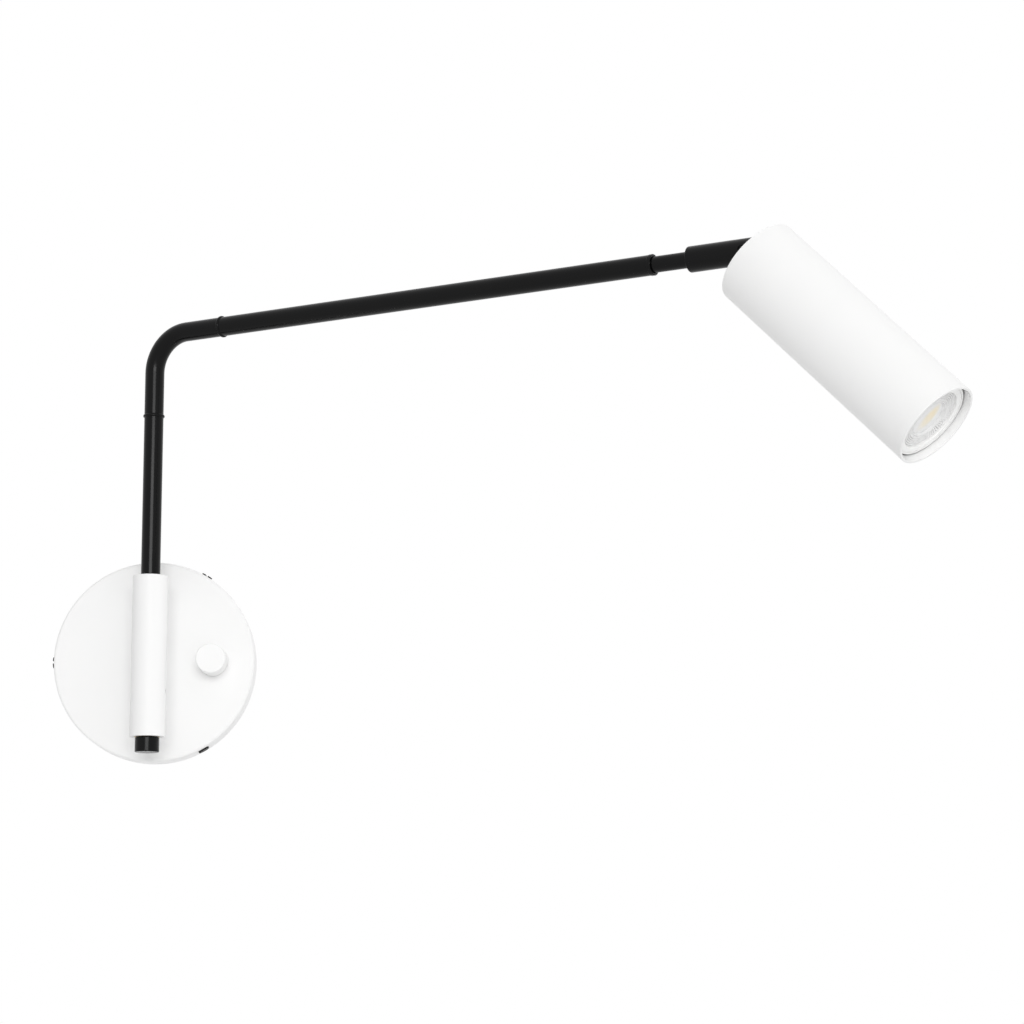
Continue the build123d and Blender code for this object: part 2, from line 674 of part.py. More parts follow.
PARTS = {
    "canopy": WALL * make_canopy(),
    "wall_bracket": WALL * make_wall_bracket(),
    "rim_screws": WALL * make_rim_screws(),
    "earth_screw": WALL * make_earth_screw(),
    "terminal_block": WALL * make_terminal_block(),
    "standoff": WALL * make_standoff(),
    "standoff_nipple": WALL * make_standoff_nipple(),
    "lock_washer": WALL * make_lock_washer(),
    "lock_nut": WALL * make_lock_nut(),
    "supply_cable": WALL * make_supply_cable(),
    "dimmer_body": DIMMER * make_dimmer_body(),
    "dimmer_bush": DIMMER * make_dimmer_bush(),
    "dimmer_washer": DIMMER * make_dimmer_washer(),
    "dimmer_nut": DIMMER * make_dimmer_nut(),
    "dimmer_shaft": DIMMER * make_dimmer_shaft(),
    "knob": DIMMER * make_knob(),
    "barrel": POST * make_barrel(),
    "upper_bush": POST * make_bush(BARREL_TOP - BUSH_LEN),
    "lower_bush": POST * make_bush(-BARREL_TOP),
    "tension_screw": POST * make_tension_screw(),
    "tension_pad": POST * make_tension_pad(),
    "upright_tube": SWUNG * make_upright_tube(),
    "thrust_collar": SWUNG * make_thrust_collar(),
    "end_cap": SWUNG * make_end_cap(),
    "lower_bead_ring": LOWER_JOINT * make_bead_ring(),
    "lower_nipple": LOWER_JOINT * make_tube_nipple(),
    "elbow_tube": SWUNG * make_elbow_tube(),
    "upper_bead_ring": UPPER_JOINT * make_bead_ring(),
    "upper_nipple": UPPER_JOINT * make_tube_nipple(),
    "arm_tube": ARM * make_arm_tube(),
    "arm_end_ring": ARM * make_arm_end_ring(),
    "neck_tube": ARM * make_neck_tube(),
    "neck_clip": ARM * make_neck_clip(),
    "arm_cable": SWUNG * make_arm_cable(),
    "swivel_sleeve": ARM * make_swivel_sleeve(),
    "hinge_pin": ARM * make_hinge_pin(),
    "friction_washers": ARM * make_friction_washers(),
    "hinge_tongue": HEAD * make_hinge_tongue(),
    "stud_washer": HEAD * make_stud_washer(),
    "stud_nut": HEAD * make_stud_nut(),
    "head_shell": HEAD * make_head_shell(),
    "lead_grommet": HEAD * make_lead_grommet(),
    "head_cable": HEAD * make_head_cable(),
    "holder_strap": HEAD * make_holder_strap(),
    "holder_screws": HEAD * make_holder_screws(),
    "lamp_holder": HEAD * make_lamp_holder(),
    "lamp_pins": HEAD * make_lamp_pins(),
    "lamp_body": HEAD * make_lamp_body(),
    "lamp_ring": HEAD * make_lamp_ring(),
    "lamp_lens": HEAD * make_lamp_lens(),
    "led_board": HEAD * make_led_board(),
    "led_chip": HEAD * make_led_chip(),
}

for name, solid in PARTS.items():
    export_step(solid, f"parts/{name}.step")
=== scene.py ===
import json
import math

import bmesh
import bpy
from bpy.props import FloatProperty, FloatVectorProperty, IntProperty, PointerProperty
from mathutils import Matrix, Vector


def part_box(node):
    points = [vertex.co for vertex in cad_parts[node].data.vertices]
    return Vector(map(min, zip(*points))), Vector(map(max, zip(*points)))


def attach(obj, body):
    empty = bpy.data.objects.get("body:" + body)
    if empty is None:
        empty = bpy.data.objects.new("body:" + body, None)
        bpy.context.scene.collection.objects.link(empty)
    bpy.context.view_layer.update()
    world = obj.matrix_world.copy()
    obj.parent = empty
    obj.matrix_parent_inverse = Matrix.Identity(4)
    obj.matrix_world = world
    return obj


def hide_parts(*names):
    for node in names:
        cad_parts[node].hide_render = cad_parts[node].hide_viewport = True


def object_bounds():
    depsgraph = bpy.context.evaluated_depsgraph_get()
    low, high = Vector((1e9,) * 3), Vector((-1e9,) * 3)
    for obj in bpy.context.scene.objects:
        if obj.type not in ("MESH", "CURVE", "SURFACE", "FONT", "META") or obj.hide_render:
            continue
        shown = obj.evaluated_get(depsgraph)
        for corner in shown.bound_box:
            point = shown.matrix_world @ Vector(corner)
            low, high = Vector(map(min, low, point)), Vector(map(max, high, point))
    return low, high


bl_info = {
    "name": "Swing Arm Wall Sconce",
    "version": (1, 0, 0),
    "blender": (4, 5, 0),
    "location": "3D View > Sidebar > Sconce",
    "description": "Dresses a swing arm wall sconce with paint, metal, a moulded lens and a white studio",
    "category": "Object",
}

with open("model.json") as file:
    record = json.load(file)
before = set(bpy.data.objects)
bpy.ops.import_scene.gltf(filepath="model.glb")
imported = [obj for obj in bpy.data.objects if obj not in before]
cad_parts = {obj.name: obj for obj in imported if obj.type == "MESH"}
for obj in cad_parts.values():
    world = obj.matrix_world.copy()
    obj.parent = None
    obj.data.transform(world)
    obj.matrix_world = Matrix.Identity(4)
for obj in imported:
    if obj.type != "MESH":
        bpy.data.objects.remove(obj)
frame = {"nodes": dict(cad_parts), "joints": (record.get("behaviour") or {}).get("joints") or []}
CAD_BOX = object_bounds()
NODES = frame["nodes"]
JOINTS = {joint["name"]: joint for joint in frame["joints"]}

MM = 0.001


def box_middle(node):
    """Middle of a CAD node's box."""
    low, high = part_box(node)
    return (low + high) / 2


# The head's own frame, from the tilt pin's middle: z forwards along the lamp, y along the pin, x down
TILT_PIN = Vector(JOINTS["head_tilt"]["pos_m"])
HEAD_FORWARD = (box_middle("head_shell") - TILT_PIN).normalized()
PIN_LINE = Vector(JOINTS["head_tilt"]["axis"]).normalized()
HEAD_TURN = Matrix((PIN_LINE.cross(HEAD_FORWARD), PIN_LINE, HEAD_FORWARD)).transposed()
HEAD_PLACE = Matrix.Translation(TILT_PIN) @ HEAD_TURN.to_4x4()


def head_reach(node):
    """Lowest and highest place of a CAD node along the head's axis."""
    places = [(v.co - TILT_PIN).dot(HEAD_FORWARD) for v in NODES[node].data.vertices]
    return min(places), max(places)


def head_radius(node):
    """Largest distance of a CAD node from the head's axis."""
    return max((v.co - TILT_PIN).cross(HEAD_FORWARD).length for v in NODES[node].data.vertices)


class SconceFinishes(bpy.types.PropertyGroup):
    """Colours and gloss of the paint, the metal and the lamp"""

    white: FloatVectorProperty(
        name="White paint", description="Powder coat on the canopy, barrel, knob and head",
        subtype="COLOR", size=4, min=0, max=1, default=(0.93, 0.93, 0.927, 1),
    )
    white_gloss: FloatProperty(
        name="White roughness", description="Mean roughness of the white powder coat",
        subtype="FACTOR", min=0, max=1, default=0.3,
    )
    white_shine: FloatProperty(
        name="White shine", description="Specular level of the white powder coat",
        subtype="FACTOR", min=0, max=1, default=0.08,
    )
    black: FloatVectorProperty(
        name="Black paint", description="Powder coat on the tubes, cap and swivel",
        subtype="COLOR", size=4, min=0, max=1, default=(0.002, 0.002, 0.0022, 1),
    )
    black_gloss: FloatProperty(
        name="Black roughness", description="Mean roughness of the black powder coat",
        subtype="FACTOR", min=0, max=1, default=0.2,
    )
    black_shine: FloatProperty(
        name="Black shine", description="Specular level of the black powder coat",
        subtype="FACTOR", min=0, max=1, default=0.15,
    )
    # Painted shade: a dark colour deep inside the head behind the lamp, for the shade there as well as the
    # thin overspray
    shaded_bare_inside: FloatVectorProperty(
        name="Inside of the head", description="Thin overspray deep inside the head, behind the lamp",
        subtype="COLOR", size=4, min=0, max=1, default=(0.05, 0.05, 0.05, 1),
    )
    zinc: FloatVectorProperty(
        name="Zinc plate", description="Plated steel of the bracket, nuts, washers and strap",
        subtype="COLOR", size=4, min=0, max=1, default=(0.62, 0.63, 0.65, 1),
    )
    brass: FloatVectorProperty(
        name="Brass", description="Nipples, bushes and lamp pins",
        subtype="COLOR", size=4, min=0, max=1, default=(0.72, 0.54, 0.24, 1),
    )
    lamp_white: FloatVectorProperty(
        name="Lamp plastic", description="Moulded body and front ring of the lamp",
        subtype="COLOR", size=4, min=0, max=1, default=(0.97, 0.97, 0.96, 1),
    )
    phosphor: FloatVectorProperty(
        name="Phosphor", description="Yellow coat over the light chips",
        subtype="COLOR", size=4, min=0, max=1, default=(0.92, 0.62, 0.08, 1),
    )
    lens_clear: FloatVectorProperty(
        name="Lens", description="Milky acrylic of the lens",
        subtype="COLOR", size=4, min=0, max=1, default=(0.99, 0.99, 0.985, 1),
    )
    lens_through: FloatProperty(
        name="Lens clearness", description="How much light passes the lens without being scattered",
        subtype="FACTOR", min=0, max=1, default=0.06,
    )
    lens_cast: FloatVectorProperty(
        name="Lens cast", description="Warm cast that the phosphor gives the middle of the lens",
        subtype="COLOR", size=4, min=0, max=1, default=(1.0, 0.85, 0.52, 1),
    )


class SconceLens(bpy.types.PropertyGroup):
    """Moulded pattern on the front of the lamp's lens"""

    sectors: IntProperty(
        name="Pillows around", description="Pillows in each ring of the pattern",
        min=24, max=160, default=72,
    )
    rows: IntProperty(
        name="Pillow rings", description="Rings of pillows between the eye and the lens edge",
        min=2, max=16, default=5,
    )
    pillow: FloatProperty(
        name="Pillow height", description="How far each pillow stands out of the lens face",
        unit="LENGTH", min=0, max=0.001, default=0.0008, precision=5,
    )
    eye: FloatProperty(
        name="Eye radius", description="Radius of the smooth eye in the middle of the lens",
        unit="LENGTH", min=0.002, max=0.015, default=0.0122, precision=5,
    )
    eye_rim: FloatProperty(
        name="Eye rim", description="Half the width of the raised rim round the eye",
        unit="LENGTH", min=0, max=0.002, default=0.0008, precision=5,
    )
    eye_depth: FloatProperty(
        name="Eye depth", description="How far the eye's edge lies under the pillows",
        unit="LENGTH", min=0, max=0.002, default=0.0006, precision=5,
    )
    flange: FloatProperty(
        name="Flange thickness", description="Thickness of the flange that the ring holds",
        unit="LENGTH", min=0, max=0.005, default=0.002, precision=5,
    )
    flange_step: FloatProperty(
        name="Flange step", description="How far the flange reaches out past the lens front",
        unit="LENGTH", min=0, max=0.005, default=0.002, precision=5,
    )
    draft: FloatProperty(
        name="Draft", description="How far the back of the lens starts inside its front edge",
        unit="LENGTH", min=0, max=0.005, default=0.0015, precision=5,
    )
    tip: FloatProperty(
        name="Tip radius", description="Radius of the lens's tip on the light board",
        unit="LENGTH", min=0.002, max=0.015, default=0.0075, precision=5,
    )
    pocket: FloatProperty(
        name="Pocket radius", description="Radius of the pocket over the light chips",
        unit="LENGTH", min=0.002, max=0.015, default=0.0063, precision=5,
    )
    pocket_depth: FloatProperty(
        name="Pocket depth", description="Height of the pocket over the light chips",
        unit="LENGTH", min=0.001, max=0.015, default=0.005, precision=5,
    )


class SconceStudio(bpy.types.PropertyGroup):
    """Camera, floor and light"""

    camera_place: FloatVectorProperty(
        name="Camera place", description="Where the camera stands",
        subtype="TRANSLATION", unit="LENGTH", size=3, default=(0.237856, -1.988911, -0.246712),
    )
    camera_pitch: FloatProperty(
        name="Camera pitch", description="How far the camera looks up from level",
        subtype="ANGLE", default=math.radians(10.006),
    )
    camera_lens: FloatProperty(
        name="Focal length", description="Focal length on a 36 mm sensor, in millimetres",
        min=10, max=300, default=104.94,
    )
    floor_drop: FloatProperty(
        name="Floor drop", description="How far the floor lies under the sconce",
        unit="LENGTH", min=0, max=3, default=0.5,
    )
    room: FloatProperty(
        name="Room light", description="Mean light from all round, where 1 lights white to white",
        min=0, max=2, default=0.68,
    )
    room_lean: FloatProperty(
        name="Room lean", description="How much the room light leans to the right",
        min=0, max=1, default=0.3,
    )


# Shader helpers
PLAIN_WHITE = (1, 1, 1, 1)
# A Mix node's sockets for colours, among those for its other kinds of value
MIX_FIRST, MIX_SECOND, MIX_RESULT = 6, 7, 2


def add_node(tree, kind, inputs=None, **settings):
    """A node with its settings, and its inputs set to values or linked to sockets."""
    made = tree.nodes.new(kind)
    for key, value in settings.items():
        setattr(made, key, value)
    for key, value in (inputs or {}).items():
        if isinstance(value, bpy.types.NodeSocket):
            tree.links.new(value, made.inputs[key])
        else:
            made.inputs[key].default_value = value
    return made


def maths(tree, operation, *values):
    """The result of a sum, product or test of sockets and numbers."""
    return add_node(tree, "ShaderNodeMath", dict(enumerate(values)), operation=operation).outputs["Value"]


def vector_maths(tree, operation, *values):
    """The outputs of a node that works on whole vectors."""
    return add_node(tree, "ShaderNodeVectorMath", dict(enumerate(values)), operation=operation).outputs


def ramp(tree, value, start, end, low=0.0, high=1.0, kind="LINEAR"):
    """A value that goes from low to high while another goes from start to end."""
    limits = {"From Min": start, "From Max": end, "To Min": low, "To Max": high}
    made = add_node(tree, "ShaderNodeMapRange", {"Value": value, **limits}, interpolation_type=kind)
    return made.outputs["Result"]


def mix_colour(tree, first, second, share):
    """A colour between two others."""
    inputs = {MIX_FIRST: first, MIX_SECOND: second, "Factor": share}
    return add_node(tree, "ShaderNodeMix", inputs, data_type="RGBA").outputs[MIX_RESULT]


def noise(tree, place, scale, detail, roughness=0.5):
    """Cloudy noise from 0 to 1."""
    inputs = {"Vector": place, "Scale": scale, "Detail": detail, "Roughness": roughness}
    return add_node(tree, "ShaderNodeTexNoise", inputs).outputs["Fac"]


def new_group(name, inputs):
    """An empty surface effect with float inputs, given with their defaults, and a height and a tone."""
    group = bpy.data.node_groups.new(name, "ShaderNodeTree")
    for label, value in inputs.items():
        socket = group.interface.new_socket(label, in_out="INPUT", socket_type="NodeSocketFloat")
        socket.default_value = value
    for label in ("Height", "Tone"):
        group.interface.new_socket(label, in_out="OUTPUT", socket_type="NodeSocketFloat")
    given = group.nodes.new("NodeGroupInput").outputs
    results = group.nodes.new("NodeGroupOutput").inputs
    return group, given, results, add_node(group, "ShaderNodeTexCoord").outputs["Object"]


def coat_grain_group():
    """The gentle peel and fine grit of a baked coat, as a height and a drifting tone."""
    scales = {"Peel scale": 700.0, "Grit scale": 2600.0, "Grit share": 0.35, "Drift scale": 22.0}
    group, given, results, place = new_group("coat_grain", scales)
    peel = noise(group, place, given["Peel scale"], detail=1.5, roughness=0.4)
    grit = noise(group, place, given["Grit scale"], detail=2.0, roughness=0.6)
    height = add_node(group, "ShaderNodeMix", {"Factor": given["Grit share"], "A": peel, "B": grit})
    drift = noise(group, place, given["Drift scale"], detail=4.0, roughness=0.55)
    group.links.new(height.outputs["Result"], results["Height"])
    group.links.new(drift, results["Tone"])
    return group


def plate_spangle_group():
    """Crystal patches and fine rolling lines of plated or machined metal."""
    line_stretch = (0.06, 1.0, 1.0)
    line_share = 0.6
    scales = {"Patch scale": 260.0, "Line scale": 900.0}
    group, given, results, place = new_group("plate_spangle", scales)
    patches = add_node(group, "ShaderNodeTexVoronoi", {"Vector": place, "Scale": given["Patch scale"]})
    patch_tone = add_node(group, "ShaderNodeSeparateColor", {"Color": patches.outputs["Color"]})
    rolled = add_node(group, "ShaderNodeMapping", {"Vector": place, "Scale": line_stretch})
    lines = noise(group, rolled.outputs["Vector"], given["Line scale"], detail=3.0)
    tone = add_node(
        group, "ShaderNodeMix", {"Factor": line_share, "A": patch_tone.outputs["Red"], "B": lines}
    )
    group.links.new(lines, results["Height"])
    group.links.new(tone.outputs["Result"], results["Tone"])
    return group


SURFACE_GROUPS = {"coat_grain": coat_grain_group, "plate_spangle": plate_spangle_group}


def surface_group(name):
    """A shared surface effect, built when it is first asked for."""
    return bpy.data.node_groups.get(name) or SURFACE_GROUPS[name]()


def scaled(colour, share):
    """A colour made darker or lighter."""
    return (*[min(1.0, part * share) for part in colour[:3]], 1.0)


def make_finish(name, colour, roughness, effect, effect_values=None, spread=0.04, depth=0.02,
                tint=0.03, **constants):
    """A Principled finish whose colour, roughness and bump vary through a shared surface effect.

    The roughness varies by the spread and the colour by the tint, and the bump is depth millimetres
    high. What else is given is set on the shader's own sockets.
    """
    material = bpy.data.materials.new(name)
    material.use_nodes = True
    tree = material.node_tree
    shader = tree.nodes["Principled BSDF"]
    surface = add_node(tree, "ShaderNodeGroup", effect_values, node_tree=surface_group(effect))
    tone = surface.outputs["Tone"]
    paint = mix_colour(tree, scaled(colour, 1 - tint), scaled(colour, 1 + tint), tone)
    gloss = ramp(tree, tone, 0.0, 1.0, roughness - spread, roughness + spread)
    grain = {"Height": surface.outputs["Height"], "Strength": 1.0, "Distance": depth * MM}
    bump = add_node(tree, "ShaderNodeBump", grain)
    tree.links.new(paint, shader.inputs["Base Color"])
    tree.links.new(gloss, shader.inputs["Roughness"])
    tree.links.new(bump.outputs["Normal"], shader.inputs["Normal"])
    for key, value in constants.items():
        shader.inputs[key.replace("_", " ")].default_value = value
    return material


def places_in_head(tree):
    """Sockets for the distance from the head's axis, and the places along and across it, in metres."""
    place = add_node(tree, "ShaderNodeTexCoord").outputs["Object"]
    turned = add_node(
        tree, "ShaderNodeMapping",
        {"Vector": place, "Location": TILT_PIN, "Rotation": HEAD_TURN.to_euler()}, vector_type="TEXTURE",
    )
    parts = add_node(tree, "ShaderNodeSeparateXYZ", {"Vector": turned.outputs["Vector"]}).outputs
    across = add_node(tree, "ShaderNodeCombineXYZ", {"X": parts["X"], "Y": parts["Y"]}).outputs["Vector"]
    return vector_maths(tree, "LENGTH", across)["Value"], parts["Z"], across


def blend_colour(material, colour, share):
    """Mixes one more colour into a finish, by a share that varies over the surface."""
    tree = material.node_tree
    base = tree.nodes["Principled BSDF"].inputs["Base Color"]
    tree.links.new(mix_colour(tree, base.links[0].from_socket, tuple(colour), share), base)


# Scene helpers
def dress(material, *nodes):
    """Puts one finish on whole CAD nodes."""
    for name in nodes:
        mesh = NODES[name].data
        mesh.materials.clear()
        mesh.materials.append(material)


def new_object(name, shape, material):
    """An object in the scene, from a shape that is done with."""
    mesh = bpy.data.meshes.new(name)
    shape.to_mesh(mesh)
    shape.free()
    mesh.materials.append(material)
    made = bpy.data.objects.new(name, mesh)
    bpy.context.scene.collection.objects.link(made)
    return made


def new_piece(name, shape, material, body, slot, *stands_for):
    """A modelled piece that rides a body, in place of the CAD nodes that it stands for."""
    piece = new_object(name, shape, material)
    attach(piece, body)
    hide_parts(*stands_for)
    return piece


class SCONCE_OT_white_paint(bpy.types.Operator):
    """Coats the canopy, stand-off, barrel, knob and head in white, with painted shade deep inside the head
    behind the lamp
    """

    bl_idname = "sconce.white_paint"
    bl_label = "White paint"

    # How deep the outer paint counts as outside, and over how far behind the lamp's front the painted shade
    # inside the head darkens to its full depth
    SKIN = 0.6 * MM
    SHADE_REACH = 4 * MM

    def execute(self, context):
        looks = context.scene.sconce_finishes
        dress(self.coat("white_powder_coat", looks), "canopy", "standoff", "barrel", "knob")
        head = self.coat("white_head_coat", looks)
        # The head's inside behind the lamp ring gets painted shade
        self.shade_deep_inside(head, looks.shaded_bare_inside)
        dress(head, "head_shell")
        return {"FINISHED"}

    def coat(self, name, looks):
        """The white powder coat."""
        return make_finish(
            name, looks.white, looks.white_gloss, "coat_grain",
            tint=0.006, depth=0.003, Specular_IOR_Level=looks.white_shine,
        )

    def shade_deep_inside(self, material, shade_colour):
        """Paints the inside of the head dark behind the lamp ring: painted shade for the deep gap round the
        lamp, which also stands for the coat thinning to unpainted metal where spray hardly reaches.
        """
        tree = material.node_tree
        lamp_front = head_reach("lamp_ring")[1]
        radius, along, _ = places_in_head(tree)
        # Painted shade: the inner wall, but not the rear end face, darkens from the lamp's front backwards
        inner = maths(tree, "LESS_THAN", radius, head_radius("head_shell") - self.SKIN)
        covered = maths(tree, "GREATER_THAN", along, head_reach("head_shell")[0] + self.SKIN)
        within = maths(tree, "MULTIPLY", inner, covered)
        deep = ramp(tree, along, lamp_front, lamp_front - self.SHADE_REACH)
        blend_colour(material, shade_colour, maths(tree, "MULTIPLY", within, deep))


class SCONCE_OT_black_paint(bpy.types.Operator):
    """Coats the tubes, rings, cap, neck and swivel in satin black, and blackens screws and pin"""

    bl_idname = "sconce.black_paint"
    bl_label = "Black paint"

    # How much lighter the black oxide is than the paint
    OXIDE_TONE = 2.5

    def execute(self, context):
        looks = context.scene.sconce_finishes
        paint = make_finish(
            "black_powder_coat", looks.black, looks.black_gloss, "coat_grain",
            tint=0.15, depth=0.002, Specular_IOR_Level=looks.black_shine,
        )
        dress(
            paint, "upright_tube", "end_cap", "lower_bead_ring", "elbow_tube", "upper_bead_ring",
            "arm_tube", "arm_end_ring", "neck_tube", "swivel_sleeve", "hinge_tongue",
        )
        oxide = make_finish(
            "black_oxide", scaled(looks.black, self.OXIDE_TONE), roughness=0.4,
            effect="plate_spangle", tint=0.2, Metallic=0.6,
        )
        dress(oxide, "rim_screws", "tension_screw", "hinge_pin")
        return {"FINISHED"}


class SCONCE_OT_hardware(bpy.types.Operator):
    """Finishes the bracket, nuts, washers, nipples, bushes and pins"""

    bl_idname = "sconce.hardware"
    bl_label = "Hardware"

    # Sizes of the marks that turning leaves on brass
    TURNING = {"Patch scale": 120.0, "Line scale": 1500.0}

    def execute(self, context):
        looks = context.scene.sconce_finishes
        zinc = make_finish(
            "zinc_plate", looks.zinc, roughness=0.36, effect="plate_spangle",
            tint=0.12, spread=0.08, Metallic=1.0,
        )
        dress(
            zinc, "wall_bracket", "lock_washer", "lock_nut", "dimmer_washer", "dimmer_nut", "dimmer_shaft",
            "thrust_collar", "neck_clip", "stud_washer", "stud_nut", "holder_strap", "holder_screws",
        )
        brass = make_finish(
            "turned_brass", looks.brass, roughness=0.3, effect="plate_spangle",
            effect_values=self.TURNING, tint=0.1, Metallic=1.0,
        )
        dress(
            brass, "standoff_nipple", "lower_nipple", "upper_nipple", "dimmer_bush", "upper_bush",
            "lower_bush", "lamp_pins", "earth_screw",
        )
        return {"FINISHED"}


class SCONCE_OT_mouldings(bpy.types.Operator):
    """Finishes the dimmer, terminal block, pads, cables, grommet and lamp holder"""

    bl_idname = "sconce.mouldings"
    bl_label = "Mouldings and cables"

    # The grain of moulded plastic is finer than that of paint
    GRAIN = {"Peel scale": 1100.0, "Grit scale": 3200.0, "Grit share": 0.6}
    # Each finish: its name, colour, roughness, tint, bump in millimetres, and what wears it
    FINISHES = (
        ("natural_nylon", (0.82, 0.81, 0.76), 0.45, 0.03, 0.02, ("tension_pad", "friction_washers")),
        ("dimmer_moulding", (0.03, 0.03, 0.034), 0.5, 0.15, 0.02, ("dimmer_body",)),
        ("terminal_moulding", (0.85, 0.84, 0.8), 0.4, 0.03, 0.02, ("terminal_block",)),
        ("cable_sheath", (0.03, 0.03, 0.03), 0.55, 0.2, 0.02, ("supply_cable", "arm_cable", "head_cable")),
        ("grommet_rubber", (0.025, 0.025, 0.025), 0.7, 0.2, 0.02, ("lead_grommet",)),
        ("steatite", (0.88, 0.86, 0.8), 0.6, 0.03, 0.04, ("lamp_holder",)),
    )

    def execute(self, context):
        for name, colour, roughness, tint, depth, nodes in self.FINISHES:
            finish = make_finish(name, colour, roughness, "coat_grain", self.GRAIN, tint=tint, depth=depth)
            dress(finish, *nodes)
        return {"FINISHED"}


class SCONCE_OT_lamp(bpy.types.Operator):
    """Finishes the lamp and moulds the pillows into its lens"""

    bl_idname = "sconce.lamp"
    bl_label = "Lamp"

    # Colour of the white mask on the light board
    BOARD_MASK = (0.88, 0.89, 0.9)
    # Sizes of the faint clouding in the lens, and how much acrylic bends light
    CLOUDING = {"Patch scale": 620.0, "Line scale": 500.0}
    ACRYLIC_IOR = 1.49
    # Half the streak of yellow chips seen in the lens, along and across it, the share of it that isn't
    # faded at its edge, and how strong its pale end is
    STREAK = (12 * MM, 6.5 * MM, 1.0)
    STREAK_CORE = 0.3
    STREAK_PALE = 0.2
    # How far in and how high a pillow's shoulder lies, as shares of its width and height
    PILLOW_INSET = 0.2
    PILLOW_SHOULDER = 0.6
    # Degrees between the rings of the eye's dome, and the share of the pocket's depth that is its cone
    DOME_STEP = 15
    POCKET_CONE = 1 / 3
    # Points closer than this are one point or level
    FLAT = 0.001 * MM

    def execute(self, context):
        looks = context.scene.sconce_finishes
        plastic = make_finish(
            "lamp_plastic", looks.lamp_white, roughness=0.3, effect="coat_grain", tint=0.01, depth=0.003
        )
        dress(plastic, "lamp_body", "lamp_ring")
        board = make_finish("board_mask", self.BOARD_MASK, roughness=0.4, effect="plate_spangle", tint=0.03)
        dress(board, "led_board")
        phosphor = make_finish(
            "phosphor", looks.phosphor, roughness=0.35, effect="coat_grain", tint=0.1, depth=0.02
        )
        dress(phosphor, "led_chip")
        acrylic = make_finish(
            "lens_acrylic", looks.lens_clear, roughness=0.1, effect="plate_spangle",
            effect_values=self.CLOUDING, spread=0.02, depth=0.002, tint=0.14,
            IOR=self.ACRYLIC_IOR, Transmission_Weight=looks.lens_through,
        )
        self.warm_middle(acrylic, looks.lens_cast)
        shape = self.lens_shape(context.scene.sconce_lens)
        new_piece("moulded_lens", shape, acrylic, "head", "lens_clear", "lamp_lens")
        return {"FINISHED"}

    def warm_middle(self, material, cast):
        """Lets the row of yellow chips show as a soft streak in the eye of the lens."""
        tree = material.node_tree
        across = places_in_head(tree)[2]
        halves = vector_maths(tree, "MULTIPLY", across, [1 / half for half in self.STREAK])["Vector"]
        reach = vector_maths(tree, "LENGTH", halves)["Value"]
        lengthwise = add_node(tree, "ShaderNodeSeparateXYZ", {"Vector": halves}).outputs["X"]
        share = ramp(tree, reach, 1.0, self.STREAK_CORE, kind="SMOOTHSTEP")
        fade = ramp(tree, lengthwise, 1.0, -1.0, low=self.STREAK_PALE)
        blend_colour(material, cast, maths(tree, "MULTIPLY", share, fade))

    def lens_shape(self, sizes):
        """The lens turned about the head's axis, with rings of pillows round a smooth domed eye."""
        back, face = head_reach("lamp_lens")
        ring_back = head_reach("lamp_body")[1]
        seat = ring_back - sizes.flange
        pocket_end = head_reach("led_chip")[1] + sizes.pocket_depth
        flange = head_radius("lamp_lens")
        front = flange - sizes.flange_step
        level = face - sizes.pillow
        start = sizes.eye + sizes.eye_rim
        step = (front - start) / (sizes.rows + 1)
        rows = [start + step * (i + 0.5) for i in range(sizes.rows + 1)]
        dome = [math.radians(angle) for angle in range(0, 90, self.DOME_STEP)]
        eye = sizes.eye - sizes.eye_rim
        outline = [(eye * math.sin(a), level - sizes.eye_depth * (1 - math.cos(a))) for a in dome]
        outline += [(eye, level - sizes.eye_depth), (sizes.eye, face), (start, level)]
        outline += [(radius, level) for radius in rows]
        outline += [(front, level), (front, ring_back), (flange, ring_back), (flange, seat)]
        outline += [(front - sizes.draft, seat), (sizes.tip, back), (sizes.pocket, back)]
        outline += [(sizes.pocket, pocket_end - sizes.pocket_depth * self.POCKET_CONE), (0, pocket_end)]
        shape = bmesh.new()
        points = [shape.verts.new((radius, 0, place)) for radius, place in outline]
        edges = [shape.edges.new(pair) for pair in zip(points, points[1:])]
        bmesh.ops.spin(
            shape, geom=points + edges, cent=(0, 0, 0), axis=(0, 0, 1), angle=math.tau,
            steps=sizes.sectors, use_merge=True,
        )
        bmesh.ops.remove_doubles(shape, verts=shape.verts, dist=self.FLAT)
        bmesh.ops.recalc_face_normals(shape, faces=shape.faces)
        pillows = [
            f for f in shape.faces
            if rows[0] < f.calc_center_median().xy.length < rows[-1]
            and all(abs(v.co.z - level) < self.FLAT for v in f.verts)
        ]
        shoulder = sizes.pillow * self.PILLOW_SHOULDER
        bmesh.ops.inset_individual(shape, faces=pillows, thickness=step * self.PILLOW_INSET, depth=shoulder)
        bmesh.ops.poke(shape, faces=pillows, offset=sizes.pillow - shoulder)
        bmesh.ops.transform(shape, matrix=HEAD_PLACE, verts=shape.verts)
        return shape


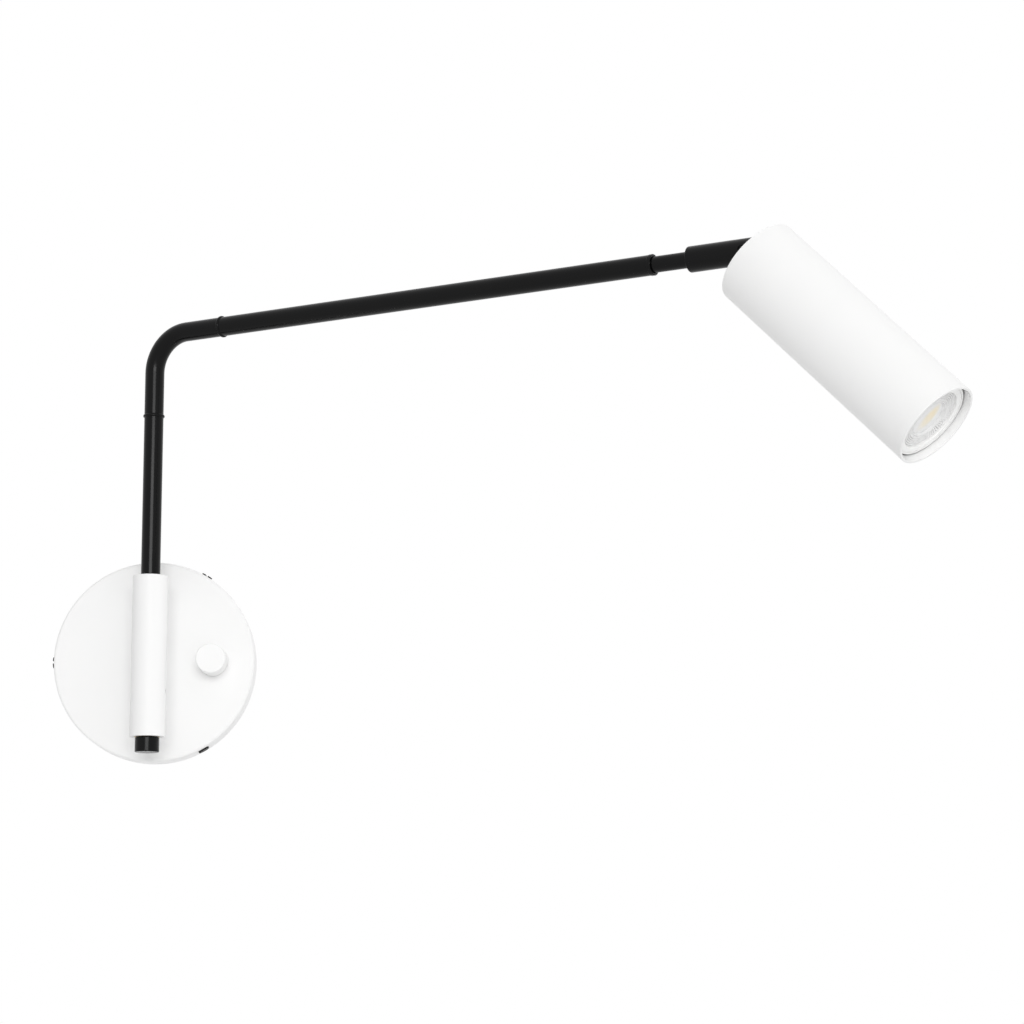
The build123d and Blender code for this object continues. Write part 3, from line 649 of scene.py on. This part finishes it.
class SCONCE_OT_stage(bpy.types.Operator):
    """Sets up the white studio, its lamps, the floor and the camera"""

    bl_idname = "sconce.stage"
    bl_label = "Studio"

    # Each lamp: its name, where it stands, what it points at, its width and height, its power in watts
    LAMPS = (
        ("key_above_right", (1.5, -2.6, 3.6), (0.05, -0.05, 0.0), (1.8, 1.8), 6.0),
        ("front_panel", (0.4, -5.0, 0.85), (0.4, 0.0, 0.5), (2.6, 1.1), 70.0),
    )
    # The room is lighter towards this side
    LIGHT_SIDE = (0.98, 0.12, 0.13)
    # The strength at which the background and the floor are plain white
    WHITE = 1.0
    # Half the floor's width, its tone and roughness, how much of it is plain white near the sconce, and
    # from where to where that rises to all of it
    FLOOR_HALF = 6.0
    FLOOR_TONE = (0.97, 0.97, 0.97, 1)
    FLOOR_ROUGHNESS = 0.9
    FLOOR_WHITE = 0.7
    FLOOR_FADE = (0.8, 2.4)

    def execute(self, context):
        scene = context.scene
        studio = scene.sconce_studio
        self.white_world(scene, studio)
        self.lay_floor(studio)
        for name, place, target, size, power in self.LAMPS:
            self.hang_lamp(scene, name, Vector(place), Vector(target), size, power)
        self.set_camera(scene, studio)
        scene.view_settings.view_transform = "Standard"
        return {"FINISHED"}

    def is_seen(self, tree):
        """1 on rays that show a thing itself: to the camera, in a reflection or through glass."""
        ray = add_node(tree, "ShaderNodeLightPath").outputs
        indirect = maths(tree, "MAXIMUM", ray["Is Glossy Ray"], ray["Is Transmission Ray"])
        return maths(tree, "MAXIMUM", ray["Is Camera Ray"], indirect)

    def white_world(self, scene, studio):
        """White where it is seen, also in metal and glass, and a softer light that leans to one side."""
        world = bpy.data.worlds.new("studio_white")
        world.use_nodes = True
        tree = world.node_tree
        way = add_node(tree, "ShaderNodeTexCoord").outputs["Generated"]
        lean = vector_maths(tree, "DOT_PRODUCT", way, self.LIGHT_SIDE)["Value"]
        room = maths(tree, "MULTIPLY_ADD", lean, studio.room_lean, studio.room)
        level = add_node(tree, "ShaderNodeMix", {"Factor": self.is_seen(tree), "A": room, "B": self.WHITE})
        background = tree.nodes["Background"]
        background.inputs["Color"].default_value = PLAIN_WHITE
        tree.links.new(level.outputs["Result"], background.inputs["Strength"])
        scene.world = world

    def lay_floor(self, studio):
        """A pale floor that fades to the white background and keeps a soft shadow."""
        shape = bmesh.new()
        bmesh.ops.create_grid(shape, x_segments=1, y_segments=1, size=self.FLOOR_HALF)
        bmesh.ops.translate(shape, verts=shape.verts, vec=(0, 0, CAD_BOX[0].z - studio.floor_drop))
        pale = bpy.data.materials.new("studio_floor")
        pale.use_nodes = True
        tree = pale.node_tree
        shader = tree.nodes["Principled BSDF"]
        shader.inputs["Base Color"].default_value = self.FLOOR_TONE
        shader.inputs["Roughness"].default_value = self.FLOOR_ROUGHNESS
        shader.inputs["Specular IOR Level"].default_value = 0.0
        white = add_node(tree, "ShaderNodeEmission", {"Color": PLAIN_WHITE, "Strength": self.WHITE})
        place = add_node(tree, "ShaderNodeTexCoord").outputs["Object"]
        distance = vector_maths(tree, "LENGTH", place)["Value"]
        fade = ramp(tree, distance, *self.FLOOR_FADE, low=self.FLOOR_WHITE, kind="SMOOTHSTEP")
        share = maths(tree, "MULTIPLY", self.is_seen(tree), fade)
        surfaces = {0: share, 1: shader.outputs["BSDF"], 2: white.outputs["Emission"]}
        blend = add_node(tree, "ShaderNodeMixShader", surfaces)
        tree.links.new(blend.outputs["Shader"], tree.nodes["Material Output"].inputs["Surface"])
        floor = new_object("studio_floor", shape, pale)

    def hang_lamp(self, scene, name, place, target, size, power):
        """A flat lamp that points at its target."""
        light = bpy.data.lights.new(name, "AREA")
        light.shape = "RECTANGLE"
        light.size, light.size_y = size
        light.energy = power
        lamp = bpy.data.objects.new(name, light)
        lamp.location = place
        lamp.rotation_euler = (target - place).to_track_quat("-Z", "Y").to_euler()
        scene.collection.objects.link(lamp)

    def set_camera(self, scene, studio):
        """The camera at the photograph's viewing angle."""
        camera = bpy.data.objects.new("camera", bpy.data.cameras.new("camera"))
        camera.data.lens = studio.camera_lens
        camera.location = studio.camera_place
        camera.rotation_euler = (math.pi / 2 + studio.camera_pitch, 0, 0)
        scene.collection.objects.link(camera)
        scene.camera = camera


DRESSING = (
    SCONCE_OT_white_paint,
    SCONCE_OT_black_paint,
    SCONCE_OT_hardware,
    SCONCE_OT_mouldings,
    SCONCE_OT_lamp,
    SCONCE_OT_stage,
)


class SCONCE_PT_sidebar(bpy.types.Panel):
    """The sconce's finishes and steps in the sidebar"""

    bl_idname = "SCONCE_PT_sidebar"
    bl_label = "Wall Sconce"
    bl_space_type = "VIEW_3D"
    bl_region_type = "UI"
    bl_category = "Sconce"

    def draw(self, context):
        for settings in ("sconce_finishes", "sconce_lens", "sconce_studio"):
            column = self.layout.column(align=True)
            group = getattr(context.scene, settings)
            for name in group.__annotations__:
                column.prop(group, name)
        for step in DRESSING:
            self.layout.operator(step.bl_idname)


SETTINGS = {"sconce_finishes": SconceFinishes, "sconce_lens": SconceLens, "sconce_studio": SconceStudio}
CLASSES = (*SETTINGS.values(), *DRESSING, SCONCE_PT_sidebar)


def register():
    for made in CLASSES:
        bpy.utils.register_class(made)
    for name, group in SETTINGS.items():
        setattr(bpy.types.Scene, name, PointerProperty(type=group))


def unregister():
    for name in SETTINGS:
        delattr(bpy.types.Scene, name)
    for made in reversed(CLASSES):
        bpy.utils.unregister_class(made)


def main():
    register()
    bpy.ops.sconce.white_paint()
    bpy.ops.sconce.black_paint()
    bpy.ops.sconce.hardware()
    bpy.ops.sconce.mouldings()
    bpy.ops.sconce.lamp()
    bpy.ops.sconce.stage()


if __name__ == "__main__":
    main()
